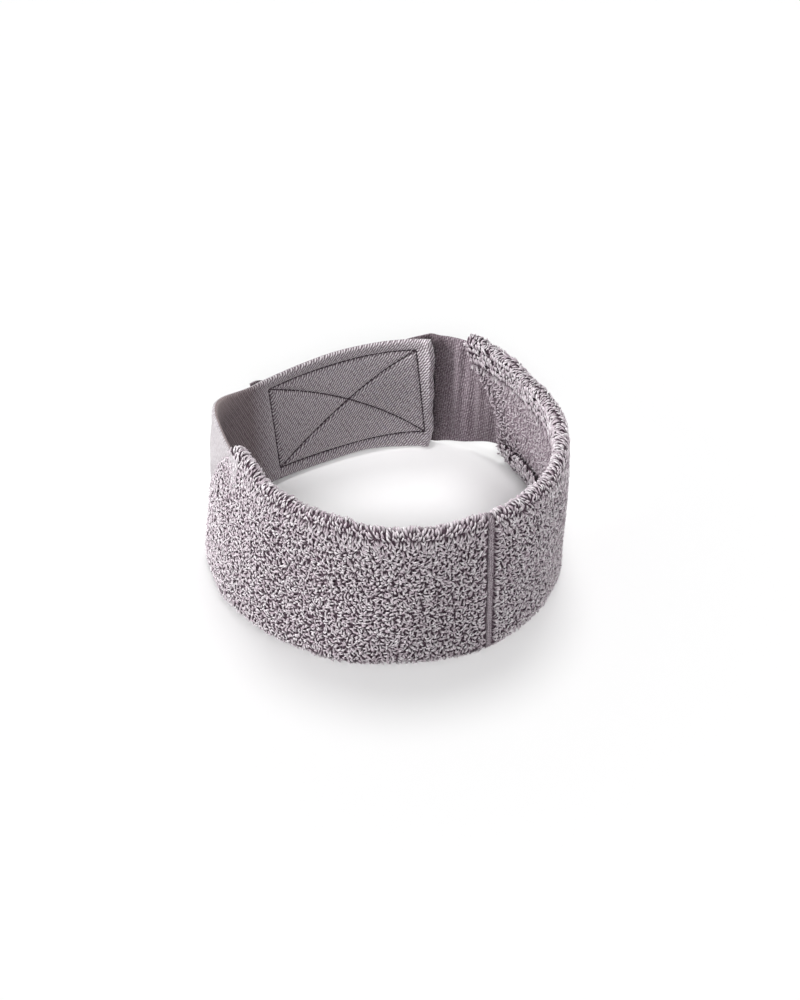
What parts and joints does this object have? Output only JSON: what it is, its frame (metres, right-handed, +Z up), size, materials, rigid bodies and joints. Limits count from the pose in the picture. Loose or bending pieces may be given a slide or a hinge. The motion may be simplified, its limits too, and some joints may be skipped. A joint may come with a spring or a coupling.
{
  "type": "spa headband",
  "caption": "Terry headband for spa and make-up use: a hemmed terry ring closed at the back by a plain hook tab under a brushed loop strap.",
  "frame": {"origin": "middle of the footprint, on the surface that the ring stands on", "axes": "+Z up along the ring's axis; -Y towards the wearer's forehead; the closure is at +Y; the hook tab leaves the terry at -X"},
  "size_m": [0.1748, 0.1776, 0.075],
  "materials": {
    "terry": "terry cloth with uncut loops, heathered grey-lilac, matt",
    "facing_knit": "smooth knit, matt",
    "twill": "diagonal twill weave, matt",
    "interfacing": "stiff non-woven, matt",
    "hook_tape": "fine moulded nylon hooks, satin",
    "jersey": "brushed jersey, matt",
    "grey_thread": "spun polyester thread",
    "dark_thread": "spun polyester thread, charcoal"
  },
  "bodies": {
    "band": {"front_terry_panel": "terry", "front_facing": "facing_knit", "front_lower_hem_stitch": "grey_thread", "front_upper_hem_stitch": "grey_thread", "panel_seam_strip": "facing_knit", "panel_seam_front_stitch": "grey_thread", "panel_seam_side_stitch": "grey_thread", "tab_root_rib": "terry", "tab_root_rib_stitch": "grey_thread"},
    "side_panel": {"side_terry_panel": "terry", "side_facing": "facing_knit", "side_lower_hem_stitch": "grey_thread", "side_upper_hem_stitch": "grey_thread", "strap_root_rib": "terry", "strap_root_rib_stitch": "grey_thread"},
    "loop_strap": {"strap_loop_facing": "jersey", "strap_outer_cloth": "jersey", "strap_lower_stitch": "grey_thread", "strap_upper_stitch": "grey_thread", "strap_end_stitch": "grey_thread"},
    "hook_tab": {"tab_inner_cloth": "twill", "tab_interfacing": "interfacing", "tab_outer_cloth": "twill", "hook_tape": "hook_tape", "tab_box_stitch_lower": "dark_thread", "tab_box_stitch_upper": "dark_thread", "tab_box_stitch_end": "dark_thread", "tab_box_stitch_root": "dark_thread", "tab_cross_stitch_under": "dark_thread", "tab_cross_stitch_over": "dark_thread"}
  },
  "joints": [
    {"name": "band_spread", "type": "hinge", "parent": "band", "child": "side_panel", "pos_m": [0.04442, -0.0742, 0.0375], "axis": [0, 0, -1], "range_deg": [0, 8]},
    {"name": "loop_strap_peel", "type": "hinge", "parent": "side_panel", "child": "loop_strap", "pos_m": [0.05382, 0.07269, 0.0375], "axis": [0.0487, 0.0684, -0.9965], "range_deg": [0, 75]},
    {"name": "hook_tab_flex", "type": "hinge", "parent": "band", "child": "hook_tab", "pos_m": [-0.08, -0.01717, 0.0375], "axis": [-0.0732, -0.015, -0.9972], "range_deg": [0, 14]}
  ],
  "couplings": [
    {"joint": "band_spread", "follows": "loop_strap_peel", "ratio": 0.106}
  ]
}
